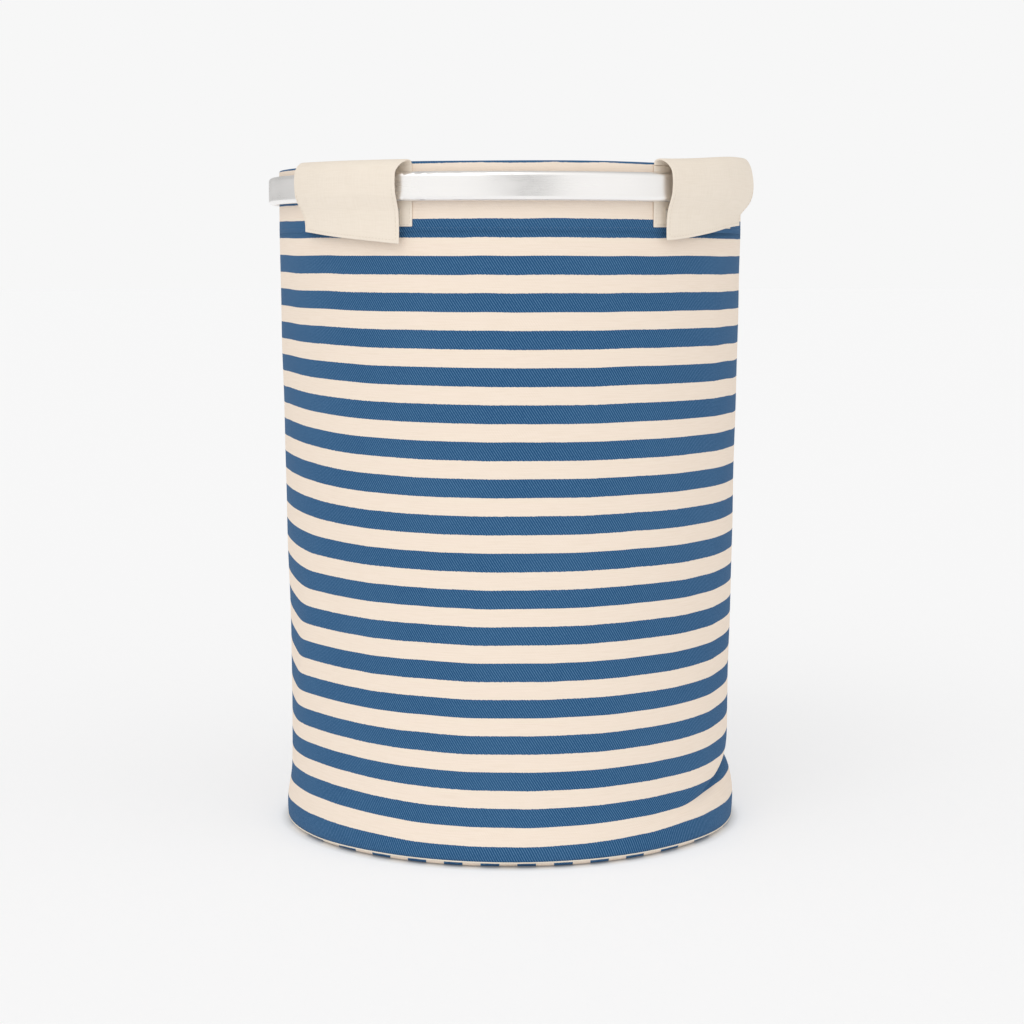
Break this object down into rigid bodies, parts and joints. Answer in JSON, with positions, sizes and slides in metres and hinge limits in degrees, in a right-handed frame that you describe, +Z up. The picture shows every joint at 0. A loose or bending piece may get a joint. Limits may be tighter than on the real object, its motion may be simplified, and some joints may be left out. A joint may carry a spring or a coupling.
{
  "type": "striped canvas sack on a hoop",
  "caption": "Round free-standing striped canvas sack, held open by a flat oval aluminium hoop in wide fold-over cloth tabs, with a loose stiff base.",
  "frame": {"origin": "on the floor, under the middle of the sack", "axes": "+Z up out of the mouth, front towards -Y, the tube's joint at the rear towards +Y"},
  "size_m": [0.4112, 0.4112, 0.555],
  "materials": {
    "striped_canvas": "matte twill, blue and cream stripes",
    "tab_canvas": "matte plain weave",
    "piping_cord": "matte",
    "binding_tape": "matte",
    "coated_lining": "coated, low sheen",
    "loop_tape": "soft loops",
    "hook_tape": "stiff hooks",
    "base_board": "matte grain",
    "satin_aluminium": "satin anodised",
    "sleeve_metal": "mill",
    "rivet_metal": "satin"
  },
  "bodies": {
    "sack": {"outer_shell": "striped_canvas", "inner_lining": "coated_lining", "rear_seam_tape": "binding_tape", "base_panel": "striped_canvas", "base_lining": "coated_lining", "base_piping": "piping_cord", "base_seam_binding": "binding_tape"},
    "rim": {"hem_band": "striped_canvas", "rim_hoop": "satin_aluminium", "hoop_joint_sleeve": "sleeve_metal", "hoop_rivets": "rivet_metal", "tab_strap_front_left": "tab_canvas", "loop_tape_front_left": "loop_tape", "tab_strap_front_right": "tab_canvas", "loop_tape_front_right": "loop_tape", "tab_strap_rear_left": "tab_canvas", "loop_tape_rear_left": "loop_tape", "tab_strap_rear_right": "tab_canvas", "loop_tape_rear_right": "loop_tape"},
    "base_board": {"base_board": "base_board"},
    "flap_front_left": {"flap_front_left": "tab_canvas", "hook_tape_front_left": "hook_tape"},
    "flap_front_right": {"flap_front_right": "tab_canvas", "hook_tape_front_right": "hook_tape"},
    "flap_rear_left": {"flap_rear_left": "tab_canvas", "hook_tape_rear_left": "hook_tape"},
    "flap_rear_right": {"flap_rear_right": "tab_canvas", "hook_tape_rear_right": "hook_tape"}
  },
  "joints": [
    {"name": "rim_collapse", "type": "slide", "parent": "sack", "child": "rim", "axis": [0, 0, -1], "range_m": [0, 0.42], "deforming": ["outer_shell", "inner_lining", "rear_seam_tape", "base_seam_binding"]},
    {"name": "board_lift", "type": "slide", "parent": "sack", "child": "base_board", "axis": [0, 0, 1], "range_m": [0, 0.6]},
    {"name": "flap_front_left_open", "type": "hinge", "parent": "rim", "child": "flap_front_left", "pos_m": [-0.14824, -0.13824, 0.551], "axis": [-0.682, 0.7314, 0], "range_deg": [0, 150]},
    {"name": "flap_front_right_open", "type": "hinge", "parent": "rim", "child": "flap_front_right", "pos_m": [0.14824, -0.13824, 0.551], "axis": [-0.682, -0.7314, 0], "range_deg": [0, 150]},
    {"name": "flap_rear_left_open", "type": "hinge", "parent": "rim", "child": "flap_rear_left", "pos_m": [-0.14824, 0.13824, 0.551], "axis": [0.682, 0.7314, 0], "range_deg": [0, 150]},
    {"name": "flap_rear_right_open", "type": "hinge", "parent": "rim", "child": "flap_rear_right", "pos_m": [0.14824, 0.13824, 0.551], "axis": [0.682, -0.7314, 0], "range_deg": [0, 150]}
  ]
}
